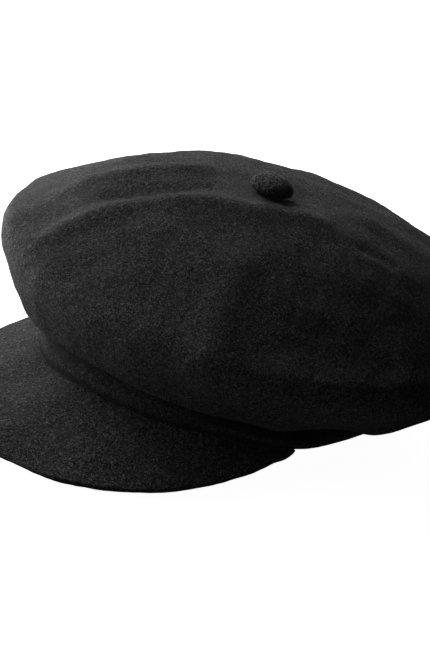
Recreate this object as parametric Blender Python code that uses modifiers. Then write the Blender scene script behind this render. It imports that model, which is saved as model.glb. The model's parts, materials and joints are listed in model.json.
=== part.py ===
"""Newsboy cap in black wool felt: a blocked crown, a head band, a stiffened visor and a covered button.

The cap is modelled about its head band. The band's lower edge is the plane z = 0, the wearer faces -Y
and +X is the wearer's left. The last step tips the cap back onto the floor, where it rests on the rim
of the visor and the back of the band. Lengths are in metres.
"""

import math

import bmesh
import bpy
from mathutils import Vector

MM = 0.001
GAP = 0.3 * MM  # room between two pieces that touch on the real cap

# Head band: an ellipse for a 57 cm head, measured on the outside of the felt.
BAND_HALF_LENGTH = 103.9 * MM
BAND_HALF_WIDTH = 85.3 * MM
BAND_HEIGHT = 11.5 * MM
BAND_FELT = 2.0 * MM
TAPE_THICKNESS = 0.5 * MM
STIFFENER_THICKNESS = 0.8 * MM
SWEATBAND_THICKNESS = 0.8 * MM
LABEL_THICKNESS = 0.4 * MM
CROWN_TAPE_BOTTOM, CROWN_TAPE_TOP = 6.4 * MM, 19.0 * MM
VISOR_TAPE_BOTTOM, VISOR_TAPE_TOP = 0.6 * MM, 6.0 * MM
STIFFENER_BOTTOM, STIFFENER_TOP = 0.8 * MM, 28.0 * MM
SWEATBAND_BOTTOM, SWEATBAND_TOP = 0.4 * MM, 30.0 * MM
JOINT_TAB_BOTTOM, JOINT_TAB_TOP, JOINT_TAB_HALF_ANGLE = 1.2 * MM, 29.0 * MM, 6
LABEL_BOTTOM, LABEL_TOP, LABEL_HALF_ANGLE = 7.0 * MM, 27.0 * MM, 12
SECTOR = 6  # degrees of turn between two columns of every piece that goes round the head
FULL_TURN = 360

# Crown: it swells from the band to its widest ring, then rises as a low cone to the button.
CROWN_FELT = 2.2 * MM
CROWN_FRONT_REACH = 123.5 * MM
CROWN_BACK_REACH = 154.3 * MM
CROWN_HALF_WIDTH = 131.3 * MM
CROWN_TOP = 102.3 * MM
CROWN_TOP_FORWARD = 3.4 * MM
WIDEST_HEIGHT = 48.0 * MM
WIDEST_RISE_TO_BACK = 7.0 * MM
WIDEST_SHIFT_BACK = 1.4 * MM
UNDERSIDE_SPREAD, UNDERSIDE_RISE = 1.13, 1.52  # exponents of the section below the widest ring
TOP_SPREAD, TOP_RISE = 0.81, 1.96  # exponents of the section above it
RIM_FULLNESS, RIM_REACH = 0.61, 0.33  # how full the section is just above the widest ring
UNDERSIDE_RINGS, TOP_RINGS = 6, 12
DIMPLE_DEPTH = 2.0 * MM
DIMPLE_RADIUS = 18.0 * MM
CROWN_SEAM_INSET = 1.4 * MM  # the crown stands on the top edge of the band
CROWN_HOLE = 2.5 * MM
LINING_THICKNESS = 0.6 * MM
LINING_INSET = 3.6 * MM  # at its mouth, from the band's outer face
LINING_CLEARANCE = 1.0 * MM  # from the band's outer face in to the lining's widest ring
LINING_WIDEST, LINING_TOP = 46.0 * MM, 93.0 * MM
LINING_RINGS = 9

# Visor: a crescent sewn to the front of the band, sloping down and a little arched across.
VISOR_HALF_ANGLE = 72
VISOR_LENGTH = 57.8 * MM
VISOR_HALF_WIDTH = 90.2 * MM
VISOR_ROOT_HEIGHT = 0.5 * MM
VISOR_ROOT_GAP = 1.0 * MM  # room for the ends of the visor to slide up the band as it is pushed down
VISOR_DROP = 24.0 * MM
VISOR_ARCH = 4.1 * MM
VISOR_CAMBER = 2.0 * MM
VISOR_END_WIDTH = 4.0 * MM
SIDE_BULGE, SIDE_SPREAD = 1.4, 0.6  # how far and how soon the sides swing out past the ends
FRONT_SPREAD = 0.9  # exponent of the outline across the front
VISOR_ROWS = 5
TOP_COVER_FELT = 1.2 * MM
BOARD_THICKNESS = 0.8 * MM
UNDER_COVER_FELT = 1.0 * MM
BOARD_DEPTH = TOP_COVER_FELT + GAP
UNDER_COVER_DEPTH = BOARD_DEPTH + BOARD_THICKNESS + GAP
VISOR_THICKNESS = UNDER_COVER_DEPTH + UNDER_COVER_FELT
BOARD_HALF_ANGLE = 66
BOARD_INSET = 4.0 * MM
UNDER_COVER_INSET = 2.2 * MM

# Button: a felt-covered shell on a wire shank, tied through the crown to a disc inside.
BUTTON_RADIUS = 11.2 * MM
BUTTON_WIDEST = 3.7 * MM  # height of its widest ring above the crown
BUTTON_DOME = 6.8 * MM
BUTTON_UNDERSIDE = 3.3 * MM
BUTTON_FELT = 1.4 * MM
SHELL_METAL = 0.5 * MM
PLATE_RADIUS, PLATE_HOLE = 8.5 * MM, 3.2 * MM
PLATE_BOTTOM, PLATE_TOP = 3.6 * MM, 4.4 * MM
WIRE_RADIUS = 0.5 * MM
THREAD_RADIUS = 0.4 * MM
THREAD_SPREAD = 1.6 * MM
DISC_RADIUS, DISC_THICKNESS = 9.0 * MM, 1.2 * MM
TURNED_STEPS = 32

# How far the front is tipped up when the visor's rim and the back of the band are both on the floor.
REST_PITCH = math.atan2(
    VISOR_DROP + VISOR_THICKNESS - VISOR_ROOT_HEIGHT, 2 * BAND_HALF_LENGTH + VISOR_LENGTH
)

FELT = ("black wool felt", (0.030, 0.030, 0.031), 0.95, 0.0)
FELT_UNDER = ("black felt underside", (0.026, 0.026, 0.027), 0.97, 0.0)
SATIN = ("black satin", (0.020, 0.020, 0.022), 0.42, 0.0)
RIBBON = ("black grosgrain ribbon", (0.018, 0.018, 0.019), 0.75, 0.0)
TAPE = ("black cotton tape", (0.035, 0.035, 0.036), 0.90, 0.0)
BUCKRAM = ("stiffened buckram", (0.60, 0.57, 0.50), 0.85, 0.0)
BOARD = ("visor board", (0.12, 0.12, 0.12), 0.55, 0.0)
STEEL = ("tinned steel", (0.55, 0.55, 0.56), 0.35, 1.0)
THREAD = ("black sewing thread", (0.022, 0.022, 0.024), 0.80, 0.0)
LABEL = ("blank care label", (0.70, 0.69, 0.66), 0.60, 0.0)


def clear_scene():
    for old in list(bpy.data.objects):
        bpy.data.objects.remove(old)


def make_collection(name):
    collection = bpy.data.collections.new(name)
    bpy.context.scene.collection.children.link(collection)
    return collection


def make_material(look):
    name, colour, roughness, metallic = look
    material = bpy.data.materials.get(name)
    if material is None:
        material = bpy.data.materials.new(name)
        material.use_nodes = True
        shader = material.node_tree.nodes["Principled BSDF"]
        shader.inputs["Base Color"].default_value = (*colour, 1.0)
        shader.inputs["Roughness"].default_value = roughness
        shader.inputs["Metallic"].default_value = metallic
    return material


def make_empty(name, location, parent=None):
    empty = bpy.data.objects.new(name, None)
    CAP.objects.link(empty)
    empty.location = location
    empty.parent = parent
    return empty


def link(obj, collection):
    for old in list(obj.users_collection):
        old.objects.unlink(obj)
    collection.objects.link(obj)


def place(obj, parent, look, location=(0.0, 0.0, 0.0)):
    """Puts a piece under its parent empty and gives it its material."""
    link(obj, CAP)
    obj.parent = parent
    obj.location = location
    obj.data.materials.append(make_material(look))


def mesh_object(name, shape):
    """A smooth-shaded object from a bmesh."""
    mesh = bpy.data.meshes.new(name)
    shape.to_mesh(mesh)
    shape.free()
    mesh.shade_smooth()
    obj = bpy.data.objects.new(name, mesh)
    bpy.context.scene.collection.objects.link(obj)
    return obj


def loft(name, rows, closed=True, capped=False):
    """An open surface through rows of points, each row one ring or one open line. capped fills the last row."""
    shape = bmesh.new()
    grid = [[shape.verts.new(point) for point in row] for row in rows]
    columns = len(rows[0])
    for low, high in zip(grid, grid[1:]):
        for i in range(columns if closed else columns - 1):
            j = (i + 1) % columns
            shape.faces.new((low[i], low[j], high[j], high[i]))
    if capped:
        shape.faces.new(grid[-1])
    return mesh_object(name, shape)


def thicken(obj, thickness, depth=0.0):
    """Gives a surface its thickness on its inner side, starting depth below the surface."""
    if depth:
        sink = obj.modifiers.new("depth", "DISPLACE")
        sink.direction = "NORMAL"
        sink.mid_level = 0.0
        sink.strength = -depth
    wall = obj.modifiers.new("thickness", "SOLIDIFY")
    wall.thickness = thickness
    wall.offset = -1.0
    wall.use_even_offset = True
    return obj


def turned(name, profile):
    """A profile of (radius, height) points, turned about Z."""
    shape = bmesh.new()
    points = [shape.verts.new((radius, 0.0, height)) for radius, height in profile]
    for start, end in zip(points, points[1:]):
        shape.edges.new((start, end))
    if profile[0][0] > 0:
        shape.edges.new((points[-1], points[0]))
    obj = mesh_object(name, shape)
    screw = obj.modifiers.new("turn", "SCREW")
    screw.steps = screw.render_steps = TURNED_STEPS
    screw.use_merge_vertices = True
    screw.merge_threshold = 0.01 * MM
    screw.use_smooth_shade = True
    return obj


def wire(name, points, radius, cyclic=False):
    """A round wire or thread along a line of points."""
    curve = bpy.data.curves.new(name, "CURVE")
    curve.dimensions = "3D"
    curve.bevel_depth = radius
    curve.bevel_resolution = 2
    curve.use_fill_caps = not cyclic
    spline = curve.splines.new("POLY")
    spline.points.add(len(points) - 1)
    for target, point in zip(spline.points, points):
        target.co = (*point, 1.0)
    spline.use_cyclic_u = cyclic
    obj = bpy.data.objects.new(name, curve)
    bpy.context.scene.collection.objects.link(obj)
    return obj


def cut(obj, cutter):
    """Takes the cutter out of the object."""
    link(cutter, CUTTERS)
    cutter.parent = obj.parent
    cutter.hide_render = True
    cutter.display_type = "WIRE"
    hole = obj.modifiers.new("hole", "BOOLEAN")
    hole.operation = "DIFFERENCE"
    hole.object = cutter


def arc_between(start, end, steps):
    return [start + (end - start) * i / steps for i in range(steps + 1)]


def turns(start=-FULL_TURN // 2, end=FULL_TURN // 2):
    """Angles round the head in degrees, 0 at the front and growing to the wearer's left."""
    return range(start, end if end - start == FULL_TURN else end + 1, SECTOR)


def band_point(turn, inset, height):
    """A point of the head band's ellipse, moved inwards by inset."""
    angle = math.radians(turn)
    across = (BAND_HALF_WIDTH - inset) * math.sin(angle)
    along = -(BAND_HALF_LENGTH - inset) * math.cos(angle)
    return Vector((across, along, height))


def band_strip(name, inset, bottom, top, thickness, start=-180, end=180):
    """A strip that stands round the head, or round part of it."""
    angles = turns(start, end)
    rows = [[band_point(turn, inset, height) for turn in angles] for height in (bottom, top)]
    return thicken(loft(name, rows, closed=end - start == FULL_TURN), thickness)


# ---------------------------------------------------------------- crown


def widest_point(turn):
    """The crown's widest ring: an egg that reaches further at the back."""
    angle = math.radians(turn)
    reach = CROWN_FRONT_REACH if math.cos(angle) > 0 else CROWN_BACK_REACH
    height = WIDEST_HEIGHT - WIDEST_RISE_TO_BACK * math.cos(angle)
    along = WIDEST_SHIFT_BACK - reach * math.cos(angle)
    return Vector((CROWN_HALF_WIDTH * math.sin(angle), along, height))


def underside_point(turn, share, inset=CROWN_SEAM_INSET, bottom=BAND_HEIGHT + GAP):
    """From the band at share 0 to the widest ring at share 1."""
    low, high = band_point(turn, inset, bottom), widest_point(turn)
    angle = share * math.pi / 2
    point = low.lerp(high, math.sin(angle) ** UNDERSIDE_SPREAD)
    point.z = bottom + (high.z - bottom) * (1 - math.cos(angle) ** UNDERSIDE_RISE)
    return point


def top_point(turn, share):
    """From the widest ring at share 0 to the crown's centre at share 1."""
    low = widest_point(turn)
    centre = Vector((0.0, -CROWN_TOP_FORWARD, CROWN_TOP))
    up = math.sin(share * math.pi / 2)
    out = max(math.cos(share * math.pi / 2), 0.0) ** TOP_SPREAD
    point = centre.lerp(low, out)
    fullness = RIM_FULLNESS * up * math.exp(-((up / RIM_REACH) ** 2))
    point.z = low.z + (CROWN_TOP - low.z) * (up**TOP_RISE + fullness)
    from_button = (point - centre).xy.length
    point.z -= DIMPLE_DEPTH * math.exp(-((from_button / DIMPLE_RADIUS) ** 2))
    return point


def hole_ring():
    """The small round hole at the crown's centre that the button's thread goes through."""
    centre = Vector((0.0, -CROWN_TOP_FORWARD, CROWN_TOP - DIMPLE_DEPTH))
    return [
        centre + CROWN_HOLE * Vector((math.sin(math.radians(a)), -math.cos(math.radians(a)), 0.0))
        for a in turns()
    ]


def crown_rows():
    rows = [
        [underside_point(turn, i / UNDERSIDE_RINGS) for turn in turns()]
        for i in range(UNDERSIDE_RINGS)
    ]
    rows += [
        [top_point(turn, i / TOP_RINGS) for turn in turns()]
        for i in range(TOP_RINGS)
    ]
    return rows + [hole_ring()]


def make_crown():
    place(thicken(loft("crown_felt", crown_rows()), CROWN_FELT), DATUM, FELT)


def lining_point(turn, share):
    """From the lining's widest ring at share 0 to its centre at share 1."""
    angle = share * math.pi / 2
    edge = band_point(turn, LINING_CLEARANCE, LINING_WIDEST)
    point = edge.lerp(Vector((0.0, -CROWN_TOP_FORWARD, LINING_WIDEST)), 1 - math.cos(angle))
    point.z += (LINING_TOP - LINING_WIDEST) * math.sin(angle)
    return point


def make_lining():
    """A satin dome that hangs inside the crown from the top of the sweatband."""
    mouth = [band_point(turn, LINING_INSET, SWEATBAND_TOP + GAP) for turn in turns()]
    rows = [[lining_point(turn, i / LINING_RINGS) for turn in turns()] for i in range(LINING_RINGS)]
    lining = thicken(loft("crown_lining", [mouth, *rows], capped=True), LINING_THICKNESS)
    place(lining, DATUM, SATIN)


# ---------------------------------------------------------------- head band


def make_band():
    """The visible felt band and the layers behind it, from the outside in."""
    place(band_strip("band_felt", 0.0, 0.0, BAND_HEIGHT, BAND_FELT), DATUM, FELT)
    inset = BAND_FELT + GAP
    seam = band_strip("crown_seam_tape", inset, CROWN_TAPE_BOTTOM, CROWN_TAPE_TOP, TAPE_THICKNESS)
    place(seam, DATUM, TAPE)
    ends = (-VISOR_HALF_ANGLE, VISOR_HALF_ANGLE)
    root = band_strip("visor_root_tape", inset, VISOR_TAPE_BOTTOM, VISOR_TAPE_TOP, TAPE_THICKNESS, *ends)
    place(root, DATUM, TAPE)
    inset += TAPE_THICKNESS + GAP
    stiffener = band_strip(
        "band_stiffener", inset, STIFFENER_BOTTOM, STIFFENER_TOP, STIFFENER_THICKNESS
    )
    place(stiffener, DATUM, BUCKRAM)
    inset += STIFFENER_THICKNESS + GAP
    sweatband = band_strip("sweatband", inset, SWEATBAND_BOTTOM, SWEATBAND_TOP, SWEATBAND_THICKNESS)
    place(sweatband, DATUM, RIBBON)
    inset += SWEATBAND_THICKNESS + GAP
    ends = (180 - JOINT_TAB_HALF_ANGLE, 180 + JOINT_TAB_HALF_ANGLE)
    tab = band_strip("sweatband_joint_tab", inset, JOINT_TAB_BOTTOM, JOINT_TAB_TOP, TAPE_THICKNESS, *ends)
    place(tab, DATUM, RIBBON)
    inset += TAPE_THICKNESS + GAP
    ends = (180 - LABEL_HALF_ANGLE, 180 + LABEL_HALF_ANGLE)
    label = band_strip("care_label", inset, LABEL_BOTTOM, LABEL_TOP, LABEL_THICKNESS, *ends)
    place(label, DATUM, LABEL)


# ---------------------------------------------------------------- visor


def visor_edge(turn):
    """The outer edge of the visor for a place on its root."""
    swing = math.radians(90 * turn / VISOR_HALF_ANGLE)
    end_turn = math.radians(VISOR_HALF_ANGLE)
    end_across = BAND_HALF_WIDTH * math.sin(end_turn)
    end_ahead = BAND_HALF_LENGTH * math.cos(end_turn)
    front = BAND_HALF_LENGTH + VISOR_LENGTH
    reach = max(math.cos(swing), 0.0)
    bulge = (VISOR_HALF_WIDTH - end_across) * SIDE_BULGE * reach**SIDE_SPREAD
    across = (end_across + bulge) * math.sin(swing)
    along = -(end_ahead + (front - end_ahead) * reach**FRONT_SPREAD)
    height = VISOR_ROOT_HEIGHT - reach * (VISOR_DROP + VISOR_ARCH * (across / end_across) ** 2)
    outward = Vector((math.sin(math.radians(turn)), -math.cos(math.radians(turn)), 0.0))
    return Vector((across, along, height)) + outward * VISOR_END_WIDTH * (1 - reach)


def visor_point(turn, share, inset=0.0):
    """On the visor's top face, from inset off the root at share 0 to inset off the outer edge at share 1."""
    root = band_point(turn, -VISOR_ROOT_GAP, VISOR_ROOT_HEIGHT)
    edge = visor_edge(turn)
    margin = inset / (edge - root).length
    share = margin + share * (1 - 2 * margin)
    point = root.lerp(edge, share)
    reach = math.cos(math.radians(90 * turn / VISOR_HALF_ANGLE))
    point.z += VISOR_CAMBER * 4 * share * (1 - share) * reach
    return point


def visor_layer(name, thickness, depth, inset=0.0, half_angle=VISOR_HALF_ANGLE, rim=False):
    """One layer of the visor. rim turns its outer edge down over the layers below."""
    angles = turns(-half_angle, half_angle)
    shares = [i / VISOR_ROWS for i in range(VISOR_ROWS + 1)]
    rows = [[visor_point(turn, share, inset) for turn in angles] for share in shares]
    if rim:
        rows.append([point - Vector((0.0, 0.0, VISOR_THICKNESS)) for point in rows[-1]])
    rows.reverse()
    return thicken(loft(name, rows, closed=False), thickness, depth)


def make_visor():
    top = visor_layer("visor_top_felt", TOP_COVER_FELT, 0.0, rim=True)
    board = visor_layer(
        "visor_board", BOARD_THICKNESS, BOARD_DEPTH, BOARD_INSET, BOARD_HALF_ANGLE
    )
    under = visor_layer(
        "visor_under_felt", UNDER_COVER_FELT, UNDER_COVER_DEPTH, UNDER_COVER_INSET, BOARD_HALF_ANGLE
    )
    for layer, look in ((top, FELT), (board, BOARD), (under, FELT_UNDER)):
        place(layer, VISOR_HINGE, look, -VISOR_HINGE.location)


# ---------------------------------------------------------------- button


def dome_line(depth, start, end):
    """The button's section at a depth below its felt, every 10 degrees from the top of the dome."""
    line = []
    for degrees in arc_between(start, end, abs(end - start) // 10):
        angle = math.radians(degrees)
        height = (BUTTON_DOME if degrees <= 90 else BUTTON_UNDERSIDE) - depth
        radius = (BUTTON_RADIUS - depth) * math.sin(angle)
        line.append((radius, BUTTON_WIDEST + height * math.cos(angle)))
    return line


def dome_shell(name, depth, thickness, end):
    """A dome that curls in underneath, open below."""
    outside = dome_line(depth, 0, end)
    inside = dome_line(depth + thickness, end, 0)
    return turned(name, [(0.0, outside[0][1]), *outside[1:], *inside[:-1], (0.0, inside[-1][1])])


def make_button_plate():
    corners = [(PLATE_HOLE, PLATE_TOP), (PLATE_RADIUS, PLATE_TOP)]
    corners += [(PLATE_RADIUS, PLATE_BOTTOM), (PLATE_HOLE, PLATE_BOTTOM)]
    return turned("button_back_plate", corners)


def make_button_shank():
    """A wire loop: its feet lie on the back plate and its bow hangs below it."""
    foot = PLATE_TOP + GAP + WIRE_RADIUS
    half = [(4.6, foot / MM), (3.1, foot / MM), (2.5, foot / MM - 0.5), (2.4, 2.2), (2.0, 1.3), (1.2, 0.9)]
    left = [Vector((x * MM, 0.0, z * MM)) for x, z in half]
    right = [Vector((-point.x, 0.0, point.z)) for point in reversed(left)]
    return wire("button_shank", left + right, WIRE_RADIUS)


def make_button_thread():
    """A closed loop of thread, over the shank's bow and under the disc inside the crown."""
    bottom = -(CROWN_FELT + GAP + DISC_THICKNESS + GAP + THREAD_RADIUS)
    loop_top, corner = 2.1 * MM, 0.6 * MM
    spread = THREAD_SPREAD
    line = [(spread, bottom + corner), (spread, loop_top - corner), (spread - corner, loop_top)]
    line += [(corner - spread, loop_top), (-spread, loop_top - corner), (-spread, bottom + corner)]
    line += [(corner - spread, bottom), (spread - corner, bottom)]
    return wire("button_thread", [Vector((0.0, y, z)) for y, z in line], THREAD_RADIUS, cyclic=True)


def make_anchor_disc():
    top = -(CROWN_FELT + GAP)
    corners = [(0.0, top), (DISC_RADIUS, top), (DISC_RADIUS, top - DISC_THICKNESS), (0.0, top - DISC_THICKNESS)]
    return turned("button_anchor_disc", corners)


def pierce_anchor_disc(disc):
    """Two holes that the thread passes through."""
    for side in (-1, 1):
        shape = bmesh.new()
        radius = THREAD_RADIUS + GAP
        bmesh.ops.create_cone(
            shape, cap_ends=True, segments=16, radius1=radius, radius2=radius, depth=4 * DISC_THICKNESS
        )
        cutter = mesh_object("disc_hole", shape)
        centre = Vector((0.0, side * THREAD_SPREAD, -(CROWN_FELT + GAP + DISC_THICKNESS / 2)))
        cut(disc, cutter)
        cutter.location = disc.location + centre


def make_button():
    """The button turns on its thread. The thread and the disc inside the crown stay with the crown."""
    turning = (
        (dome_shell("button_felt", 0.0, BUTTON_FELT, 150), FELT),
        (dome_shell("button_shell", BUTTON_FELT + GAP, SHELL_METAL, 120), STEEL),
        (make_button_plate(), STEEL),
        (make_button_shank(), STEEL),
    )
    for piece, look in turning:
        place(piece, BUTTON_AXIS, look)
    disc = make_anchor_disc()
    place(make_button_thread(), DATUM, THREAD, BUTTON_AXIS.location)
    place(disc, DATUM, FELT_UNDER, BUTTON_AXIS.location)
    pierce_anchor_disc(disc)


# ---------------------------------------------------------------- resting on the floor


def stand_on_floor():
    """Moves the cap so that the middle of its underside is the origin."""
    bpy.context.view_layer.update()
    graph = bpy.context.evaluated_depsgraph_get()
    low, high = Vector((math.inf,) * 3), Vector((-math.inf,) * 3)
    for obj in CAP.objects:
        if obj.type == "EMPTY":
            continue
        evaluated = obj.evaluated_get(graph)
        mesh = evaluated.to_mesh()
        for vertex in mesh.vertices:
            point = evaluated.matrix_world @ vertex.co
            low = Vector(map(min, low, point))
            high = Vector(map(max, high, point))
        evaluated.to_mesh_clear()
    DATUM.location -= Vector(((low.x + high.x) / 2, (low.y + high.y) / 2, low.z))


clear_scene()
CAP = make_collection("newsboy_cap")
CUTTERS = make_collection("cutters")
DATUM = make_empty("head_band_datum", Vector())
VISOR_HINGE = make_empty(
    "visor_hinge", band_point(0, -VISOR_ROOT_GAP, VISOR_ROOT_HEIGHT), DATUM
)
BUTTON_AXIS = make_empty(
    "button_axis", Vector((0.0, -CROWN_TOP_FORWARD, CROWN_TOP - DIMPLE_DEPTH)), DATUM
)
make_crown()
make_lining()
make_band()
make_visor()
make_button()
DATUM.rotation_euler.x = -REST_PITCH
stand_on_floor()
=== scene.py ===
"""Looks for the newsboy cap: felt crown, band, visor and button, with the lining and sweatband inside.

Shapes are worked out in the head band's frame, as in the CAD: the band's lower edge is z = 0, the wearer
faces -Y and +X is the wearer's left. to_row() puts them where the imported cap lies. Lengths are in metres.
"""

import json
import math

import bmesh
import bpy
import numpy as np
from mathutils import Matrix, Vector


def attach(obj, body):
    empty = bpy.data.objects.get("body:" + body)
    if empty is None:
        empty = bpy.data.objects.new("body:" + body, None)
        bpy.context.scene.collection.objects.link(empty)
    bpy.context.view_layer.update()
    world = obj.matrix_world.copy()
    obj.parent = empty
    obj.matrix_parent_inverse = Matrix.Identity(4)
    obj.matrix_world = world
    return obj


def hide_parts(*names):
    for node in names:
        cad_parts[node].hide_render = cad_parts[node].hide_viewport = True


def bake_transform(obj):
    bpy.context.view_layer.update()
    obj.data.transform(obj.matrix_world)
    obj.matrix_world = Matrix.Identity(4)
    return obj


MM = 0.001

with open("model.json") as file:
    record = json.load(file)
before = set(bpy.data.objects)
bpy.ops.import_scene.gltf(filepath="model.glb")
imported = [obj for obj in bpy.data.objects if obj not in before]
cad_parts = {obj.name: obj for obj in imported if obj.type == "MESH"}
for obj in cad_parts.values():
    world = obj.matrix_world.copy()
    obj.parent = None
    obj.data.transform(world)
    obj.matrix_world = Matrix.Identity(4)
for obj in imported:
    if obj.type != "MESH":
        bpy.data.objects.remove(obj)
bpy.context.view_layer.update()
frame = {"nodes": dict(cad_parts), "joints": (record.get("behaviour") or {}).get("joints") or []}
JOINTS = {joint["name"]: joint for joint in frame["joints"]}

# The CAD's driving dimensions.
BAND_HALF_LENGTH, BAND_HALF_WIDTH, BAND_HEIGHT = 103.9 * MM, 85.3 * MM, 11.5 * MM
BAND_FELT, CROWN_FELT = 2.0 * MM, 2.2 * MM
CROWN_FRONT_REACH, CROWN_BACK_REACH, CROWN_HALF_WIDTH = 123.5 * MM, 154.3 * MM, 131.3 * MM
CROWN_TOP, CROWN_TOP_FORWARD = 102.3 * MM, 3.4 * MM
WIDEST_HEIGHT, WIDEST_RISE_TO_BACK, WIDEST_SHIFT_BACK = 48.0 * MM, 7.0 * MM, 1.4 * MM
UNDERSIDE_SPREAD, UNDERSIDE_RISE = 1.13, 1.52
TOP_SPREAD, TOP_RISE = 0.81, 1.96
RIM_FULLNESS, RIM_REACH = 0.61, 0.33
DIMPLE_DEPTH, DIMPLE_RADIUS = 2.0 * MM, 18.0 * MM
VISOR_HALF_ANGLE, VISOR_LENGTH, VISOR_HALF_WIDTH = 72.0, 57.8 * MM, 90.2 * MM
VISOR_ROOT_HEIGHT, VISOR_ROOT_GAP = 0.5 * MM, 1.0 * MM
VISOR_DROP, VISOR_ARCH, VISOR_CAMBER, VISOR_END_WIDTH = 24.0 * MM, 4.1 * MM, 2.0 * MM, 1.0 * MM
VISOR_THICKNESS = 3.6 * MM
BUTTON_RADIUS, BUTTON_WIDEST, BUTTON_DOME, BUTTON_UNDERSIDE = 11.2 * MM, 3.7 * MM, 6.8 * MM, 3.3 * MM
BUTTON_FELT = 1.4 * MM
SWEATBAND_TOP, LINING_TOP, LINING_WIDEST = 30.0 * MM, 93.0 * MM, 46.0 * MM
HINGE_Y = -BAND_HALF_LENGTH - VISOR_ROOT_GAP

# Where the felt's own shape departs from the CAD's. A turn is in degrees round the head, 0 in front and 90 on
# the wearer's left. Four turns say where something starts, is whole from, is whole to, and ends.
SIDE_LIFT, SIDE_LIFT_TURN, SIDE_LIFT_REACH = 3.5 * MM, 100.0, 27.0  # of the band's lower edge
FRONT_RISE = 3.4 * MM  # of the band over the visor
FRONT_RISE_TURNS = (-24.0, 2.0, 46.0, 72.0)
LUMPS = ((38.0, 0.5), (16.0, 0.22), (7.0, 0.10))  # size and height in millimetres
UNDERSIDE_PUFF, PUFF_CENTRE, PUFF_REACH = 1.0 * MM, 0.40, 0.13
ROLL_SPREAD = 0.33  # where the underside rolls in over the band, as a share of the way to the widest ring
FRONT_ROLL_SPREAD = 0.50  # the same over the visor, where the crown hangs further out
FRONT_ROLL_TURNS = (-62.0, -28.0, 48.0, 74.0)
ROLL_FRONT_SHARE = 0.3  # of the band's rise at the front, in the rolled edge
ROLL_RISE, ROLL_RISE_TURN, ROLL_RISE_REACH = 6.4 * MM, 73.0, 20.0  # a gap by the visor's left end
ROLL_DROP, ROLL_DROP_TURN, ROLL_DROP_REACH = 2.2 * MM, 101.0, 16.0
ROLL_WAVES = ((3, 0.5, 0.4), (5, 0.45, 2.0), (8, 0.35, 1.1), (13, 0.22, 4.0))  # count, millimetres, phase
CROWN_HIGHLIGHT_TURNS = (38.0, 55.0, 96.0, 112.0)  # where the crown's rolled edge takes a stronger painted highlight over that gap
BAND_GAP_TURNS = (32.0, 50.0, 80.0, 96.0)  # where the band under that gap is painted in shade, with a painted highlight on its lower lip
BAND_TUCK, BAND_TUCK_TURNS = 1.1 * MM, (62.0, 74.0)  # how far the band goes down behind the visor's top
VISOR_EDGE_DROP = 1.0 * MM  # the cloth rolls down over the board's edge
VISOR_SAG, VISOR_SAG_TURN, VISOR_SAG_REACH = 0.8 * MM, 4.0, 24.0  # a slight dip of the outer edge
VISOR_FULLER, VISOR_FULLER_TURN, VISOR_FULLER_REACH = 0.9 * MM, 63.0, 15.0  # fuller by its left end
VISOR_TUCK = 0.15 * MM  # how far the root is pushed up into the band's lower edge
VISOR_END_TAPER = 0.3  # of the thickness, lost towards the outer edge
SWEATBAND_FLARE, FLARE_HEIGHT = 2.0 * MM, 6.0 * MM  # the ribbon's thick hem: growth of each face, and height
STIFFENER_LOW, STIFFENER_HIGH, STIFFENER_INSETS = 5.5 * MM, 28.0 * MM, (3.1 * MM, 3.9 * MM)
TIP_RADIUS, LINING_CLEARANCE = 52.0 * MM, 1.0 * MM  # the lining's round tip, and its way in from the band

# How finely the meshes are divided.
BAND_COLUMNS, CROWN_COLUMNS, VISOR_COLUMNS, VISOR_ROWS, RIBS = 360, 360, 201, 52, 520


def head_to_row():
    """The head band's frame in the row frame, from the two joints that the pack states."""
    up = Vector(JOINTS["button_twist"]["axis"]).normalized()
    left = Vector((1.0, 0.0, 0.0))
    back = up.cross(left)
    turn = Matrix((left, back, up)).transposed()
    hinge = Vector((0.0, HINGE_Y, VISOR_ROOT_HEIGHT))
    place = Vector(JOINTS["visor_flex"]["pos_m"]) - turn @ hinge
    return Matrix.Translation(place) @ turn.to_4x4()


TO_ROW = head_to_row()


def to_row(points):
    """Points (..., 3) in the head band's frame, in the row frame."""
    matrix = np.array(TO_ROW)
    return points @ matrix[:3, :3].T + matrix[:3, 3]


# ---------------------------------------------------------------- camera

CAMERA_AZIMUTH, CAMERA_ELEVATION, CAMERA_ROLL = 35.0, 20.4, 17.8  # degrees, about the head band
CAMERA_DISTANCE = 2.038  # metres
FOCAL_LENGTH, SENSOR = 222.2, 36.0  # millimetres
AIM_RIGHT, AIM_UP = -1.3 * MM, 25.1 * MM  # the view's middle, from the band's centre


def camera_axes():
    """The camera's right, up and backward directions in the row frame."""
    azimuth, elevation, roll = map(math.radians, (CAMERA_AZIMUTH, CAMERA_ELEVATION, CAMERA_ROLL))
    level = math.cos(elevation)
    back = Vector((math.sin(azimuth) * level, -math.cos(azimuth) * level, math.sin(elevation)))
    right = Vector((0.0, 0.0, 1.0)).cross(back).normalized()
    up = back.cross(right)
    turn = TO_ROW.to_3x3()
    rolled_right = right * math.cos(roll) + up * math.sin(roll)
    return turn @ rolled_right, turn @ back.cross(rolled_right), turn @ back


def make_camera():
    right, up, back = camera_axes()
    centre = TO_ROW.translation
    place = centre + back * CAMERA_DISTANCE
    target = centre + right * AIM_RIGHT + up * AIM_UP
    back = (place - target).normalized()
    right = (right - back * right.dot(back)).normalized()
    data = bpy.data.cameras.new("camera")
    data.lens, data.sensor_width = FOCAL_LENGTH, SENSOR
    data.clip_start, data.clip_end = 0.1, 20.0
    camera = bpy.data.objects.new("camera", data)
    bpy.context.scene.collection.objects.link(camera)
    turn = Matrix((right, back.cross(right), back)).transposed()
    camera.matrix_world = Matrix.Translation(place) @ turn.to_4x4()
    bpy.context.scene.camera = camera


make_camera()

# ---------------------------------------------------------------- materials


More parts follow.
